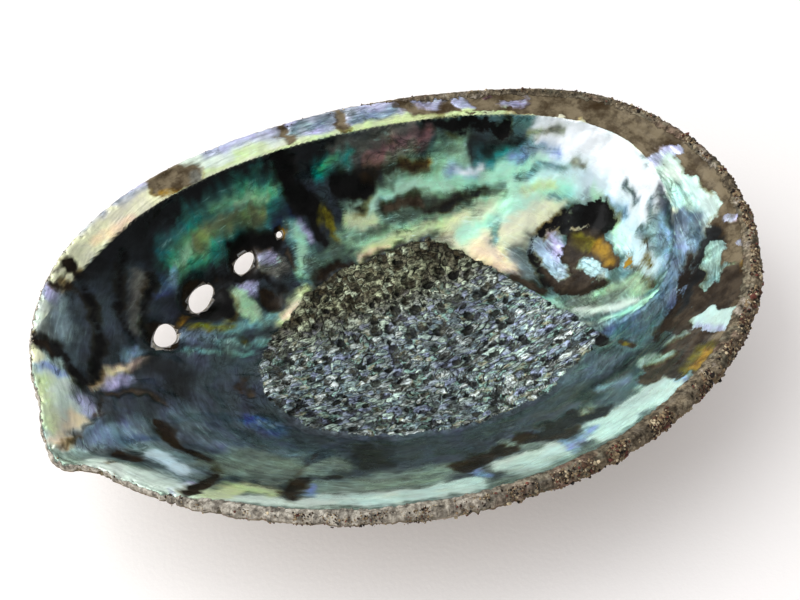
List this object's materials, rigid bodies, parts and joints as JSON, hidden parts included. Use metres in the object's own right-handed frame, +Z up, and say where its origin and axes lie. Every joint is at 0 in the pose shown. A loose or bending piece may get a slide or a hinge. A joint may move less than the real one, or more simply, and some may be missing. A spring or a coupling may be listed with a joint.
{
  "type": "abalone shell",
  "caption": "Ear-shaped sea shell lying on its back, with a broad inner shelf, a row of open pores, a rough muscle scar and a pearly inside; serves as a small dish.",
  "frame": {"origin": "centre of the bounding box in plan, on the plane that the shell rests on", "axes": "+Z up, out of the bowl; +X towards the spire end, -X towards the growing edge with the pores; +Y towards the broad inner shelf"},
  "size_m": [0.1678, 0.1196, 0.0339],
  "materials": {
    "nacre": "iridescent green-blue mother of pearl inside, dull lime-crusted brown outside"
  },
  "bodies": {
    "root": {"shell": "nacre"}
  },
  "joints": []
}
